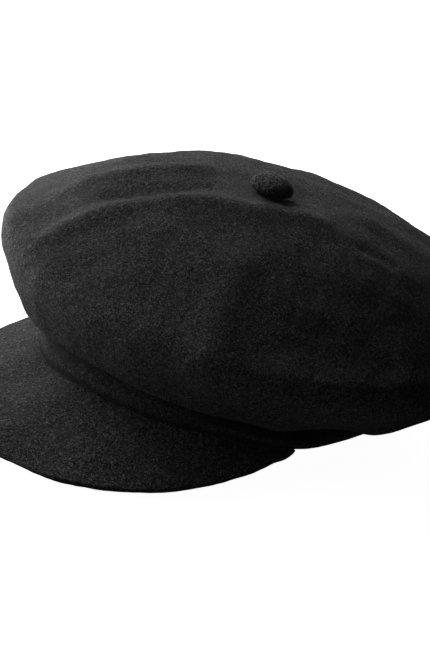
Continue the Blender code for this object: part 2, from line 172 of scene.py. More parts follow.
class Look:
    """A material's node tree, with short names for the nodes that the recipes below use."""

    def __init__(self, name):
        self.material = bpy.data.materials.new(name)
        self.material.use_nodes = True
        self.tree = self.material.node_tree
        self.shader = self.tree.nodes["Principled BSDF"]
        coordinates = self.tree.nodes.new("ShaderNodeTexCoord")
        self.place = coordinates.outputs["Object"]

    def node(self, kind, *links, **values):
        made = self.tree.nodes.new(kind)
        for name, value in values.items():
            socket = name.replace("_", " ").title()
            if hasattr(made, name):
                setattr(made, name, value)
            else:
                made.inputs[socket].default_value = value
        for source, target in links:
            self.tree.links.new(source, made.inputs[target])
        return made

    def set(self, **values):
        for name, value in values.items():
            self.shader.inputs[name.replace("_", " ").title()].default_value = value

    def link(self, source, target):
        self.tree.links.new(source, self.shader.inputs[target])

    def noise(self, scale, detail=2.0, roughness=0.5, distortion=0.0, vector=None):
        """A noise from 0 to 1, with scale lumps to the metre."""
        return self.node(
            "ShaderNodeTexNoise",
            (vector or self.place, "Vector"),
            scale=scale,
            detail=detail,
            roughness=roughness,
            distortion=distortion,
        ).outputs["Fac"]

    def ramp(self, source, low, high, to_low=0.0, to_high=1.0):
        """Goes smoothly from to_low, where the source is low, to to_high, where it is high."""
        made = self.node("ShaderNodeMapRange", (source, "Value"))
        made.interpolation_type = "SMOOTHSTEP"
        for name, value in (("From Min", low), ("From Max", high), ("To Min", to_low), ("To Max", to_high)):
            made.inputs[name].default_value = value
        return made.outputs["Result"]

    def math(self, operation, a, b=None):
        made = self.tree.nodes.new("ShaderNodeMath")
        made.operation = operation
        for socket, value in zip(made.inputs, (a, b)):
            if isinstance(value, (int, float)):
                socket.default_value = value
            elif value is not None:
                self.tree.links.new(value, socket)
        return made.outputs[0]

    def mix(self, share, a, b):
        """Two colours, each a triple or a socket, mixed by a socket."""
        made = self.tree.nodes.new("ShaderNodeMix")
        made.data_type = "RGBA"
        self.tree.links.new(share, made.inputs["Factor"])
        for name, value in (("A", a), ("B", b)):
            socket = next(s for s in made.inputs if s.name == name and s.type == "RGBA")
            if isinstance(value, tuple):
                socket.default_value = (*value, 1.0)
            else:
                self.tree.links.new(value, socket)
        return next(s for s in made.outputs if s.type == "RGBA")

    def painted(self, name):
        """A share that some meshes carry at their points, and 0 on the others."""
        made = self.tree.nodes.new("ShaderNodeAttribute")
        made.attribute_name = name
        return made.outputs["Fac"]

    def bump(self, height, distance, strength=1.0):
        made = self.node("ShaderNodeBump", (height, "Height"), distance=distance, strength=strength)
        return made.outputs["Normal"]


def grey(value):
    return (value, value, value)


def strands(look, scale, seed, width):
    """Thin, wandering lines, 1 on a strand and 0 beside it: where a drawn-out noise crosses its middle."""
    moved = look.node("ShaderNodeMapping", (look.place, "Vector"))
    moved.inputs["Location"].default_value = (seed * 0.37, seed * 0.71, seed * 0.13)
    moved.inputs["Rotation"].default_value = (seed * 1.1, seed * 0.7, seed * 1.9)
    moved.inputs["Scale"].default_value = (1.0, 0.45, 1.0)
    field = look.noise(scale, 1.5, 0.5, 1.2, moved.outputs["Vector"])
    off_middle = look.math("ABSOLUTE", look.math("SUBTRACT", field, 0.5))
    return look.ramp(off_middle, 0.0, width, 1.0, 0.0)


def felt(name, tone, grain=1.0, sheen=0.10):
    """Milled wool: a fine matted grain, single pale and dark hairs, broad wear, and a soft sheen at the edges.

    Meshes may carry two shares at their points: a painted highlight along lit edges, and painted shade where
    shadow falls, under the crown's edge and by the visor's root.
    """
    look = Look(name)
    matted = look.noise(1200.0, 2.5, 0.65)
    clumps = look.noise(480.0, 3.0, 0.6)
    wear = look.noise(28.0, 3.0, 0.55)
    hairs = look.math("MAXIMUM", strands(look, 620.0, 1, 0.035), strands(look, 800.0, 2, 0.03))
    deep = strands(look, 560.0, 3, 0.05)
    patch = look.noise(95.0, 2.0, 0.5)
    tuft = look.math("POWER", look.ramp(matted, 0.40, 0.66), 2.0)
    colour = look.mix(tuft, grey(tone * 0.10), grey(tone * 6.6))
    colour = look.mix(look.math("MULTIPLY", deep, 0.7), colour, grey(tone * 0.04))
    colour = look.mix(look.ramp(patch, 0.40, 0.62, 0.30, 0.0), colour, grey(tone * 1.05))
    pale = look.math("MULTIPLY", hairs, look.ramp(clumps, 0.46, 0.66, 0.0, 0.9))
    colour = look.mix(pale, colour, grey(tone * 9.0))
    colour = look.mix(look.ramp(wear, 0.40, 0.75, 0.0, 0.15), colour, grey(tone * 1.35))
    # Painted highlight on lit edges, then painted shade where shadow falls.
    rub = look.math("MULTIPLY", look.painted("rub"), look.ramp(matted, 0.35, 0.65, 0.25, 1.0))
    colour = look.mix(rub, colour, grey(tone * 4.5))
    colour = look.mix(look.painted("crease"), colour, grey(tone * 0.06))
    look.link(colour, "Base Color")
    look.link(look.ramp(clumps, 0.3, 0.7, 0.86, 1.0), "Roughness")
    height = look.math("ADD", look.math("MULTIPLY", matted, 0.8), look.math("MULTIPLY", clumps, 1.4))
    height = look.math("ADD", height, look.math("MULTIPLY", hairs, 0.35))
    height = look.math("MULTIPLY", height, look.ramp(patch, 0.38, 0.62, 0.75, 1.25))
    look.link(look.bump(height, 4.6 * MM * grain, 1.0), "Normal")
    look.set(Sheen_Weight=sheen, Sheen_Roughness=0.45, Sheen_Tint=(0.55, 0.55, 0.57, 1.0))
    look.shader.inputs["Specular IOR Level"].default_value = 0.1
    return look.material


def board_look():
    """Pressed fibre board: flat dark grey with pale flecks."""
    look = Look("visor_board")
    fleck = look.noise(900.0, 3.0, 0.7)
    look.link(look.mix(look.ramp(fleck, 0.45, 0.7), grey(0.09), grey(0.20)), "Base Color")
    look.link(look.ramp(fleck, 0.3, 0.7, 0.45, 0.65), "Roughness")
    look.link(look.bump(fleck, 0.1 * MM, 0.6), "Normal")
    return look.material


def threads(look, place, pitch):
    """Woven threads: two sets of fine lines, one across the other, 0 between threads and 1 on them."""
    sets = []
    for direction in ("X", "Z"):
        wave = look.node("ShaderNodeTexWave", (place, "Vector"), scale=1.0 / pitch)
        wave.bands_direction = direction
        wave.inputs["Distortion"].default_value = 0.6
        wave.inputs["Detail"].default_value = 1.0
        sets.append(wave.outputs["Fac"])
    return sets


def turn_coordinates(look):
    """Length round the head, in metres, in X and height in Z, from the object's own coordinates."""
    split = look.node("ShaderNodeSeparateXYZ", (look.place, "Vector"))
    angle = look.math("ARCTAN2", split.outputs["X"], split.outputs["Y"])
    joined = look.tree.nodes.new("ShaderNodeCombineXYZ")
    mean_radius = 94.0 * MM
    look.tree.links.new(look.math("MULTIPLY", angle, mean_radius), joined.inputs["X"])
    look.tree.links.new(split.outputs["Z"], joined.inputs["Z"])
    return joined.outputs["Vector"]


def woven(name, low, high, pitch, roughness, bump, sheen=0.0, fade=0.25):
    """A woven cloth that goes round the head: crossing threads with slubs and soft wear."""
    look = Look(name)
    place = turn_coordinates(look)
    across, along = threads(look, place, pitch)
    cross = look.math("MULTIPLY", across, along)
    slub = look.noise(260.0, 3.0, 0.6)
    wear = look.noise(35.0, 3.0, 0.6)
    colour = look.mix(look.ramp(cross, 0.05, 0.75), low, high)
    colour = look.mix(look.ramp(slub, 0.4, 0.75, 0.0, 0.5), colour, high)
    colour = look.mix(look.ramp(wear, 0.45, 0.8, 0.0, fade), colour, tuple(1.6 * c for c in high))
    look.link(colour, "Base Color")
    look.link(look.ramp(slub, 0.3, 0.7, roughness - 0.06, roughness + 0.06), "Roughness")
    height = look.math("ADD", cross, look.math("MULTIPLY", slub, 0.4))
    look.link(look.bump(height, bump * MM, 0.8), "Normal")
    look.set(Sheen_Weight=sheen, Sheen_Roughness=0.4)
    return look.material


def satin(name, low, high, roughness):
    """Satin: a smooth glossy face with fine floats, slight colour drift and small snags."""
    look = Look(name)
    place = turn_coordinates(look)
    floats = look.node("ShaderNodeTexWave", (place, "Vector"), scale=2200.0)
    floats.inputs["Distortion"].default_value = 1.5
    floats.inputs["Detail"].default_value = 2.0
    fine = look.noise(900.0, 2.0, 0.6)
    drift = look.noise(30.0, 3.0, 0.5)
    colour = look.mix(look.ramp(floats.outputs["Fac"], 0.2, 0.9), low, high)
    colour = look.mix(look.ramp(drift, 0.4, 0.7, 0.0, 0.6), colour, tuple(0.6 * c for c in high))
    look.link(colour, "Base Color")
    look.link(look.ramp(drift, 0.3, 0.7, roughness - 0.05, roughness + 0.07), "Roughness")
    height = look.math("ADD", look.math("MULTIPLY", floats.outputs["Fac"], 0.3), fine)
    look.link(look.bump(height, 0.06 * MM, 0.5), "Normal")
    look.set(Sheen_Weight=0.15, Sheen_Roughness=0.3)
    return look.material


def thread_look(name, tone):
    """Twisted sewing thread: plies that wind round it, with loose fibres."""
    look = Look(name)
    ply = look.node("ShaderNodeTexWave", (look.place, "Vector"), scale=900.0)
    ply.bands_direction = "DIAGONAL"
    fibre = look.noise(3000.0, 2.0, 0.7)
    colour = look.mix(ply.outputs["Fac"], grey(tone * 0.4), grey(tone * 1.4))
    colour = look.mix(look.ramp(fibre, 0.5, 0.8, 0.0, 0.5), colour, grey(tone * 2.4))
    look.link(colour, "Base Color")
    look.link(look.ramp(fibre, 0.3, 0.7, 0.6, 0.85), "Roughness")
    look.link(look.bump(ply.outputs["Fac"], 0.1 * MM, 0.7), "Normal")
    return look.material


def steel_look():
    """Tinned steel: fine draw lines, and a mottle of duller and brighter tin."""
    look = Look("tinned_steel")
    mottle = look.noise(320.0, 4.0, 0.6)
    lines = look.node("ShaderNodeMapping", (look.place, "Vector"))
    lines.inputs["Scale"].default_value = (1.0, 14.0, 1.0)
    drawn = look.noise(600.0, 3.0, 0.6, 0.0, lines.outputs["Vector"])
    look.link(look.mix(mottle, grey(0.42), grey(0.62)), "Base Color")
    look.link(look.ramp(drawn, 0.3, 0.7, 0.25, 0.5), "Roughness")
    look.link(look.bump(drawn, 0.02 * MM, 0.5), "Normal")
    look.set(Metallic=1.0)
    return look.material


FELT_TONE = 0.027
FELT = felt("wool_felt", FELT_TONE)
# The visor and the button take lighter copies of the felt: painted light on the visor's top and on the button.
VISOR_LOOK = felt("visor_felt", FELT_TONE * 1.3)
BUTTON_LOOK = felt("button_felt", FELT_TONE * 1.5, grain=0.6)
BOARD = board_look()
FELT_UNDER = felt("felt_underside", FELT_TONE * 0.9, sheen=0.06)
GROSGRAIN = woven("grosgrain", grey(0.008), grey(0.026), 0.42 * MM, 0.72, 0.12, 0.1)
COTTON = woven("cotton_tape", grey(0.012), grey(0.045), 0.6 * MM, 0.9, 0.2)
BUCKRAM = woven("buckram", (0.30, 0.28, 0.24), (0.66, 0.63, 0.55), 1.3 * MM, 0.85, 0.3, fade=0.1)
LABEL = satin("label_ribbon", (0.60, 0.59, 0.56), (0.74, 0.73, 0.70), 0.55)
SATIN = satin("satin_lining", grey(0.010), grey(0.024), 0.38)
THREAD = thread_look("sewing_thread", 0.03)
STEEL = steel_look()

# ---------------------------------------------------------------- meshes


def mesh_object(name, points, faces, material):
    """A smooth mesh from points in the head band's frame, with its faces turned outwards."""
    mesh = bpy.data.meshes.new(name)
    mesh.from_pydata(to_row(np.asarray(points, float)).tolist(), [], faces)
    shape = bmesh.new()
    shape.from_mesh(mesh)
    bmesh.ops.recalc_face_normals(shape, faces=shape.faces)
    shape.to_mesh(mesh)
    shape.free()
    mesh.shade_smooth()
    mesh.materials.append(material)
    obj = bpy.data.objects.new(name, mesh)
    bpy.context.scene.collection.objects.link(obj)
    return obj


def grid_faces(rows, columns, loop_rows, loop_columns):
    """Quads of a grid of points, joined end to end along its rows or its columns where asked."""
    row, column = np.meshgrid(
        np.arange(rows if loop_rows else rows - 1),
        np.arange(columns if loop_columns else columns - 1),
        indexing="ij",
    )
    above, after = (row + 1) % rows, (column + 1) % columns
    corners = (
        row * columns + column,
        row * columns + after,
        above * columns + after,
        above * columns + column,
    )
    return np.stack([corner.ravel() for corner in corners], 1).tolist()


def solid(name, outer, inner, material, closed=True):
    """A closed wall between two grids of points (rows, columns, 3).

    closed joins the last column to the first. If not, both ends are filled in.
    """
    rows, columns = outer.shape[:2]
    points = np.concatenate((outer, inner[::-1]))
    faces = grid_faces(2 * rows, columns, True, closed)
    if not closed:
        for column in (0, columns - 1):
            for row in range(rows - 1):
                far = 2 * rows - 1 - row
                ends = (row, row + 1, far - 1, far)
                faces.append([end * columns + column for end in ends])
    return mesh_object(name, points.reshape(-1, 3), faces, material)


def ring(name, section, turn, material, bend=None):
    """A closed section of (inset, height) points in metres, swept round the head band's oval."""
    points = np.stack([ellipse(turn, inset, height) for inset, height in section])
    if bend is not None:
        points = bend(points)
    rows, columns = points.shape[:2]
    return mesh_object(name, points.reshape(-1, 3), grid_faces(rows, columns, True, True), material)


def paint(piece, **shares):
    """Gives a mesh a share from 0 to 1 at each of its first points, row by row, and 0 at the rest."""
    for name, share in shares.items():
        values = np.zeros(len(piece.data.vertices))
        values[: share.size] = np.clip(share, 0.0, 1.0).ravel()
        piece.data.attributes.new(name, "FLOAT", "POINT").data.foreach_set("value", values)


def ellipse(turn, inset, height):
    """Points on the head band's oval, moved inwards by inset."""
    angle = np.radians(turn)
    across = (BAND_HALF_WIDTH - inset) * np.sin(angle)
    along = -(BAND_HALF_LENGTH - inset) * np.cos(angle)
    return np.stack(np.broadcast_arrays(across, along, height), -1)


def normals(points, closed=True):
    """Outward normals of a grid of points."""
    if closed:
        around = np.roll(points, -1, 1) - np.roll(points, 1, 1)
    else:
        around = np.gradient(points, axis=1)
    along = np.gradient(points, axis=0)
    cross = np.cross(around, along)
    return cross / np.maximum(np.linalg.norm(cross, axis=-1, keepdims=True), 1e-12)


def smooth(share):
    """Eases a share from 0 to 1, with no corner at either end."""
    share = np.clip(share, 0.0, 1.0)
    return share * share * (3 - 2 * share)


def step(value, low, high):
    """0 up to low, 1 from high, and smooth between."""
    return smooth((value - low) / (high - low))


def between(turn, turns):
    """1 between the middle two of four turns, falling smoothly to 0 at the outer two."""
    starts, whole, whole_to, ends = turns
    return step(turn, starts, whole) * (1 - step(turn, whole_to, ends))


def hump(distance, reach):
    """1 at no distance, falling smoothly to 0 at reach."""
    return smooth(1 - np.abs(distance) / reach)


def smooth_line(controls, steps):
    """Points on a smooth curve through a list of control grids, steps to each span."""
    controls = [2 * controls[0] - controls[1], *controls, 2 * controls[-1] - controls[-2]]
    line = []
    for before, start, end, after in zip(controls, controls[1:], controls[2:], controls[3:]):
        for t in np.arange(steps) / steps:
            bend = 2 * start + (end - before) * t
            bend = bend + (2 * before - 5 * start + 4 * end - after) * t**2
            line.append(0.5 * (bend + (3 * start - before - 3 * end + after) * t**3))
    return line + [controls[-2]]


def lift(turn):
    """How far the lower edge of the band rises at the sides of the head, behind the ends of the visor."""
    return SIDE_LIFT * hump(np.abs(turn) - SIDE_LIFT_TURN, SIDE_LIFT_REACH)


def front_rise(turn):
    """How far the band stands higher over the visor, a little to the wearer's left of the middle."""
    return FRONT_RISE * between(turn, FRONT_RISE_TURNS)


def lumpy(points, seed=0):
    """A smooth uneven height in metres: a few sine waves in turned directions for each size of lump."""
    height = np.zeros(points.shape[:-1])
    random = np.random.default_rng(seed + 5)
    for size, rise in LUMPS:
        for _ in range(7):  # waves of each size
            direction = random.normal(size=3)
            direction /= np.linalg.norm(direction) * size * MM * random.uniform(0.7, 1.4)
            height += rise * MM / 3.0 * np.sin(2 * math.pi * (points @ direction) + random.uniform(0, 7))
    return height


# ---------------------------------------------------------------- crown


def crown_base(turn, share):
    """The blocked crown. share runs from -1 at the band to 0 at the widest ring and 1 at the top."""
    turn, share = np.broadcast_arrays(np.asarray(turn, float), np.asarray(share, float))
    angle = np.radians(turn)
    reach = np.where(np.cos(angle) > 0, CROWN_FRONT_REACH, CROWN_BACK_REACH)
    widest = np.stack(
        (
            CROWN_HALF_WIDTH * np.sin(angle),
            WIDEST_SHIFT_BACK - reach * np.cos(angle),
            WIDEST_HEIGHT - WIDEST_RISE_TO_BACK * np.cos(angle),
        ),
        -1,
    )
    quarter = np.abs(share) * math.pi / 2
    up, out = np.sin(quarter), np.maximum(np.cos(quarter), 0.0)
    centre = np.array((0.0, -CROWN_TOP_FORWARD, CROWN_TOP))
    top = centre + (widest - centre) * out[..., None] ** TOP_SPREAD
    fullness = RIM_FULLNESS * up * np.exp(-((up / RIM_REACH) ** 2))
    top[..., 2] = widest[..., 2] + (CROWN_TOP - widest[..., 2]) * (up**TOP_RISE + fullness)
    seam = ellipse(turn, 1.4 * MM, BAND_HEIGHT)
    spread = out**UNDERSIDE_SPREAD
    under = seam + (widest - seam) * spread[..., None]
    under[..., 2] = BAND_HEIGHT + (widest[..., 2] - BAND_HEIGHT) * (1 - up**UNDERSIDE_RISE)
    under[..., 2] -= UNDERSIDE_PUFF * np.exp(-(((spread - PUFF_CENTRE) / PUFF_REACH) ** 2))
    return np.where(share[..., None] >= 0, top, under)


def distance_to_line(points, line):
    """Distance to a line of points, and the share of its length where each point is nearest."""
    best = np.full(points.shape[:-1], np.inf)
    where = np.zeros(points.shape[:-1])
    pieces = len(line) - 1
    for i in range(pieces):
        start, stride = line[i], line[i + 1] - line[i]
        share = np.clip(((points - start) @ stride) / (stride @ stride), 0.0, 1.0)
        gap = np.linalg.norm(points - start - share[..., None] * stride, axis=-1)
        nearer = gap < best
        best = np.where(nearer, gap, best)
        where = np.where(nearer, (i + share) / pieces, where)
    return best, where


# Soft folds of the felt: (turn, share) along each, then its height and half width in millimetres.
FOLDS = (
    (
        (
            (-23, 0.13), (-27, 0.29), (-27, 0.43), (-25, 0.53), (-21, 0.66), (-13, 0.77),
            (4, 0.84), (26, 0.88), (90, 0.89), (129, 0.84),
        ),
        2.9,
        8,
    ),
    (((-38, 0.48), (-34, 0.6), (-29, 0.71), (-26, 0.79), (-25, 0.87), (-18, 0.92)), -2.5, 7),
    (((-49, 0.38), (-52, 0.55), (-51, 0.66), (-53, 0.77), (-62, 0.85), (-80, 0.9)), 2.3, 8),
    (((31, 0.76), (30, 0.5), (30, 0.3), (29, 0.05), (28, -0.3)), 2.4, 12),
    (((95, 0.8), (101, 0.73), (106, 0.66)), -1.4, 5),
    (((87, 0.78), (93, 0.73), (97, 0.69)), 0.9, 5),
    (((88, 0.45), (78, 0.24), (75, 0.0)), 1.2, 9),
    (((142, 0.8), (150, 0.55), (147, 0.3)), -1.6, 12),
    (((172, 0.85), (176, 0.6), (170, 0.35)), -1.6, 12),
    (((-118, 0.88), (-116, 0.62), (-111, 0.3)), 0.6, 14),
    (((-140, 0.8), (-137, 0.65), (-142, 0.22)), -0.8, 13),
    (((60, -0.12), (90, -0.1), (118, -0.14)), 1.6, 12),
)


def fold_height(points):
    """How far the felt stands off the blocked crown, in metres: its lumps and its folds."""
    height = lumpy(points)
    for line, rise, width in FOLDS:
        route = np.array([crown_base(turn, share) for turn, share in line])
        gap, where = distance_to_line(points, route)
        ends = smooth(np.minimum(where, 1 - where) / 0.22)
        height += rise * MM * ends * np.exp(-((gap / (width * MM)) ** 2))
    return height


def roll_wave(turn):
    """The uneven hang of the rolled lower edge, in metres."""
    angle = np.radians(turn)
    return sum(rise * MM * np.sin(count * angle + phase) for count, rise, phase in ROLL_WAVES)


def rolled_edge(turn):
    """Rows from the top of the band out under the crown and round its rolled lower edge."""
    spread = ROLL_SPREAD + (FRONT_ROLL_SPREAD - ROLL_SPREAD) * between(turn, FRONT_ROLL_TURNS)
    quarter = np.arccos(spread ** (1 / UNDERSIDE_SPREAD)) / (math.pi / 2)
    edge, beyond = crown_base(turn, -quarter), crown_base(turn, -quarter + 0.05)
    seam = ellipse(turn, 1.6 * MM, BAND_HEIGHT + 0.4 * MM)
    inward = (seam - edge) * np.array((1.0, 1.0, 0.0))
    inward /= np.linalg.norm(inward, axis=-1, keepdims=True)
    up = np.array((0.0, 0.0, 1.0))
    controls = [
        seam,
        ellipse(turn, 1.2 * MM, BAND_HEIGHT + 2.6 * MM),
        ellipse(turn, -1.2 * MM, BAND_HEIGHT + 3.9 * MM),
        edge + inward * 2.4 * MM + up * 2.4 * MM,
        edge + inward * 1.1 * MM + up * 0.2 * MM,
        edge - up * 0.5 * MM,
        beyond,
    ]
    return smooth_line(controls, 4)[:-1], quarter - 0.05


def crown_outside():
    """Rows of points from the band out under the crown, round its rim and up to the button."""
    turn = np.linspace(-180.0, 180.0, CROWN_COLUMNS, endpoint=False)
    roll, start = rolled_edge(turn)
    start = np.cos(start * math.pi / 2)
    shares = -np.arccos(np.linspace(start, np.ones_like(turn), 30)) / (math.pi / 2)
    top = np.concatenate((np.linspace(0.0, 0.972, 74)[1:], (0.981, 0.989, 0.9945)))
    top = np.repeat(top[:, None], len(turn), 1)
    main = crown_base(turn[None, :], np.concatenate((shares, top)))
    points = np.concatenate((np.array(roll), main))
    from_seam = np.clip((points[..., 2] - BAND_HEIGHT - 2 * MM) / (9 * MM), 0.0, 1.0)
    points = points + normals(points) * (fold_height(points) * from_seam)[..., None]
    sag = np.exp(-np.maximum(points[..., 2] - 15 * MM, 0.0) / (7 * MM))
    sag *= np.clip(np.arange(len(points)) / 12.0, 0.0, 1.0)[:, None]
    points[..., 2] += sag * (roll_wave(turn) + ROLL_RISE * hump(turn - ROLL_RISE_TURN, ROLL_RISE_REACH))
    points[..., 2] -= sag * ROLL_DROP * hump(turn - ROLL_DROP_TURN, ROLL_DROP_REACH)
    shares = (1.0, ROLL_FRONT_SHARE, ROLL_FRONT_SHARE, 0.0)
    share = np.interp(np.arange(len(points)), (8, 14, 20, 36), shares)
    points[..., 2] += share[:, None] * front_rise(turn)
    middle = np.hypot(points[..., 0], points[..., 1] + CROWN_TOP_FORWARD)
    points[..., 2] -= DIMPLE_DEPTH * np.exp(-((middle / DIMPLE_RADIUS) ** 2))
    return points


def make_crown():
    outer = crown_outside()
    depth = np.interp(np.arange(len(outer)), (0, 10, 26), (0.9 * MM, 1.2 * MM, CROWN_FELT))
    crown = solid("crown", outer, outer - normals(outer) * depth[:, None, None], FELT)
    row = np.arange(len(outer))[:, None]
    turn = np.linspace(-180.0, 180.0, CROWN_COLUMNS, endpoint=False)
    edge_row = 22.0  # where the underside turns over into the roll
    # Painted highlight along the rolled edge, stronger over the gap on the left, and painted shade on the rows
    # tucked in under it.
    rub = hump(row - edge_row, 5.0) * (0.12 + 0.55 * between(turn, CROWN_HIGHLIGHT_TURNS))
    crease = 0.9 * (1 - step(row, edge_row - 11.0, edge_row - 5.0)) * np.ones_like(turn)
    paint(crown, rub=rub, crease=crease)
    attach(crown, "cap")
    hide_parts("crown_felt")


make_crown()

# ---------------------------------------------------------------- band


def arc_section(centre, half_width, half_height, start, end, count):
    """Points on part of an ellipse, as (inset, height)."""
    angles = np.radians(np.linspace(start, end, count))
    return [(centre[0] + half_width * math.cos(a), centre[1] + half_height * math.sin(a)) for a in angles]


def make_band():
    """The felt strip under the crown, a little full in the middle, with rounded edges."""
    turn = np.linspace(-180.0, 180.0, BAND_COLUMNS, endpoint=False)
    half = BAND_FELT / 2
    steps = np.linspace(0.0, 1.0, 9)[1:-1]
    low, high = 1.3 * MM, BAND_HEIGHT - 0.7 * MM
    outside = [(-0.35 * MM * math.sin(math.pi * s), low + s * (high - low)) for s in steps]
    inside = [(BAND_FELT, low + s * (high - low)) for s in reversed(steps)]
    top = arc_section((half, high), half, 0.9 * MM, 180, 0, 9)
    bottom = arc_section((half, low), half, 1.2 * MM, 0, -180, 9)

    def bend(points):
        points[..., 2] += lift(turn) * (1 - points[..., 2] / BAND_HEIGHT) + front_rise(turn)
        points[..., 2] += 0.35 * lumpy(points, 3)
        points[..., 2] -= BAND_TUCK * (1 - step(np.abs(turn), *BAND_TUCK_TURNS)) * low_share
        return points

    section = outside + top + inside + bottom
    low_share = (1 - step(np.array(section)[:, 1], 0.0, 2.6 * MM))[:, None]
    band = ring("band", section, turn, FELT, bend)
    inset, height = np.array(section).T
    outward = (inset < half)[:, None]
    height = (height / BAND_HEIGHT)[:, None]
    # Painted shade under the crown's edge, deepest under the gap, and by the visor's root; a painted highlight
    # on the band's lower lip under the gap.
    open_side = between(turn, BAND_GAP_TURNS)
    shade_under_crown = 0.6 * step(height, 0.45, 0.95) * (1 - open_side)
    shade_under_crown = shade_under_crown + 0.97 * step(height, 0.32, 0.55) * open_side
    lip_highlight = (1 - step(height, 0.20, 0.46)) * open_side
    shade_by_visor = 0.75 * (1 - step(height, 0.10, 0.26)) * (1 - step(np.abs(turn), 66.0, 76.0))
    paint(band, crease=outward * np.maximum(shade_under_crown, shade_by_visor), rub=outward * 0.45 * lip_highlight)
    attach(band, "cap")
    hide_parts("band_felt")


make_band()

# ---------------------------------------------------------------- visor


def visor_edge(turn):
    """The visor's outer edge, at a turn round the head."""
    swing = np.radians(90 * turn / VISOR_HALF_ANGLE)
    end_turn = math.radians(VISOR_HALF_ANGLE)
    end_across, end_ahead = BAND_HALF_WIDTH * math.sin(end_turn), BAND_HALF_LENGTH * math.cos(end_turn)
    front = BAND_HALF_LENGTH + VISOR_LENGTH
    reach = np.maximum(np.cos(swing), 0.0)
    bulge = (VISOR_HALF_WIDTH - end_across) * 1.4 * reach**0.6
    across = (end_across + bulge) * np.sin(swing)
    along = -(end_ahead + (front - end_ahead) * reach**0.9)
    height = VISOR_ROOT_HEIGHT - reach * (VISOR_DROP + VISOR_ARCH * (across / end_across) ** 2)
    outward = np.stack((np.sin(np.radians(turn)), -np.cos(np.radians(turn)), 0 * turn), -1)
    height -= VISOR_EDGE_DROP * reach
    height -= VISOR_SAG * hump(turn - VISOR_SAG_TURN, VISOR_SAG_REACH)
    edge = np.stack((across, along, height), -1)
    fuller = VISOR_FULLER * hump(turn - VISOR_FULLER_TURN, VISOR_FULLER_REACH)
    return edge + outward * (VISOR_END_WIDTH * (1 - reach) + fuller)[..., None]


def visor_top(turn, share):
    """The visor's top face, from the root at share 0 to the outer edge at share 1."""
    turn, share = np.broadcast_arrays(np.asarray(turn, float), np.asarray(share, float))
    root, edge = ellipse(turn, 1.9 * MM, 0.1 * MM), visor_edge(turn)
    points = root + (edge - root) * share[..., None]
    points[..., 2] += front_rise(turn) * (1 - share) ** 1.5
    points[..., 2] += (VISOR_TUCK + 0.6 * lift(turn)) * (1 - share) ** 8
    reach = np.cos(np.radians(90 * turn / VISOR_HALF_ANGLE))
    points[..., 2] += VISOR_CAMBER * 4 * share * (1 - share) * reach
    return points


def visor_layer(depth, margin, half_angle=VISOR_HALF_ANGLE):
    """A face of the visor at a depth below its top and a margin in from its outer edge."""
    turn = np.linspace(-half_angle, half_angle, VISOR_COLUMNS)
    reach = 1 - margin / (VISOR_LENGTH * np.maximum(np.cos(np.radians(90 * turn / VISOR_HALF_ANGLE)), 0.12))
    share = np.linspace(0.0, 1.0, VISOR_ROWS)[:, None] * np.maximum(reach, 0.2)
    points = visor_top(turn[None, :], share)
    whole = visor_top(turn[None, :], np.linspace(0.0, 1.0, VISOR_ROWS)[:, None])
    face = normals(whole, closed=False)
    face *= np.sign(face[..., 2:3])
    narrow = np.clip(np.linalg.norm(whole[-1] - whole[0], axis=-1) / (9 * MM), 0.35, 1.0)
    taper = 1 - VISOR_END_TAPER * np.linspace(0.0, 1.0, VISOR_ROWS)[:, None] ** 5
    return points - face * (depth * narrow * taper)[..., None], face


def make_visor():
    """The felt cover, rolled round the edge and hemmed below, then the under felt and the board inside it."""
    half = VISOR_THICKNESS / 2
    hem = 10  # rows
    top, face = visor_layer(0.0, half)
    bottom, _ = visor_layer(VISOR_THICKNESS, half)
    middle = (top[-1] + bottom[-1]) / 2
    radius = np.linalg.norm(top[-1] - bottom[-1], axis=-1)[:, None] / 2
    outward = top[-1] - top[-2]
    outward /= np.linalg.norm(outward, axis=-1, keepdims=True)

    def rim(size, below):
        """Rows round the edge. A power below 1 keeps its lower half full."""
        rows = []
        for a in np.linspace(0.0, math.pi, 17)[1:-1]:
            reach = math.sin(a) ** (1.0 if a < 1.6 else below)
            rows.append(middle + (face[-1] * math.cos(a) + outward * reach) * radius * size)
        return rows

    outer = np.concatenate((top, rim(1.0, 0.4), bottom[::-1][:hem]))
    outer = outer - normals(outer, closed=False) * (0.7 * lumpy(outer, 9))[..., None]
    deep_top, _ = visor_layer(1.2 * MM, half)
    deep_bottom, _ = visor_layer(VISOR_THICKNESS - 1.0 * MM, half)
    inner = np.concatenate((deep_top, rim(0.4, 1.0), deep_bottom[::-1][:hem]))
    cover = solid("visor", outer, inner, VISOR_LOOK, closed=False)
    row, along = np.arange(len(outer))[:, None], np.ones(VISOR_COLUMNS)
    # A painted highlight round the rolled outer edge, and painted shade along the root by the band.
    rub = 0.25 * hump(row - VISOR_ROWS - 3.0, 6.0) * along
    crease = 0.8 * (1 - step(row, 1.6, 3.6)) * along
    paint(cover, rub=rub, crease=crease)

    def layer(name, low, high, margin, half_angle, material):
        """A flat layer between two depths below the visor's top."""
        faces = [visor_layer(depth, margin, half_angle)[0] for depth in (low, high)]
        return solid(name, *faces, material, closed=False)

    under = (VISOR_THICKNESS + 0.35 * MM, VISOR_THICKNESS - 0.9 * MM)
    lower = layer("visor_underside", *under, 3.4 * MM, 71.0, FELT_UNDER)
    board = layer("visor_stiffener", 2.4 * MM, 1.5 * MM, 6.0 * MM, 62.0, BOARD)
    for piece, node, slot in (
        (cover, "visor_top_felt", "wool_felt"),
        (lower, "visor_under_felt", "felt_underside"),
        (board, "visor_board", "visor_board"),
    ):
        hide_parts(node)
        bend_with_visor(piece)


def bend_with_visor(piece):
    """Bakes the piece's placement into its mesh."""
    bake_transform(piece)


make_visor()

# ---------------------------------------------------------------- button


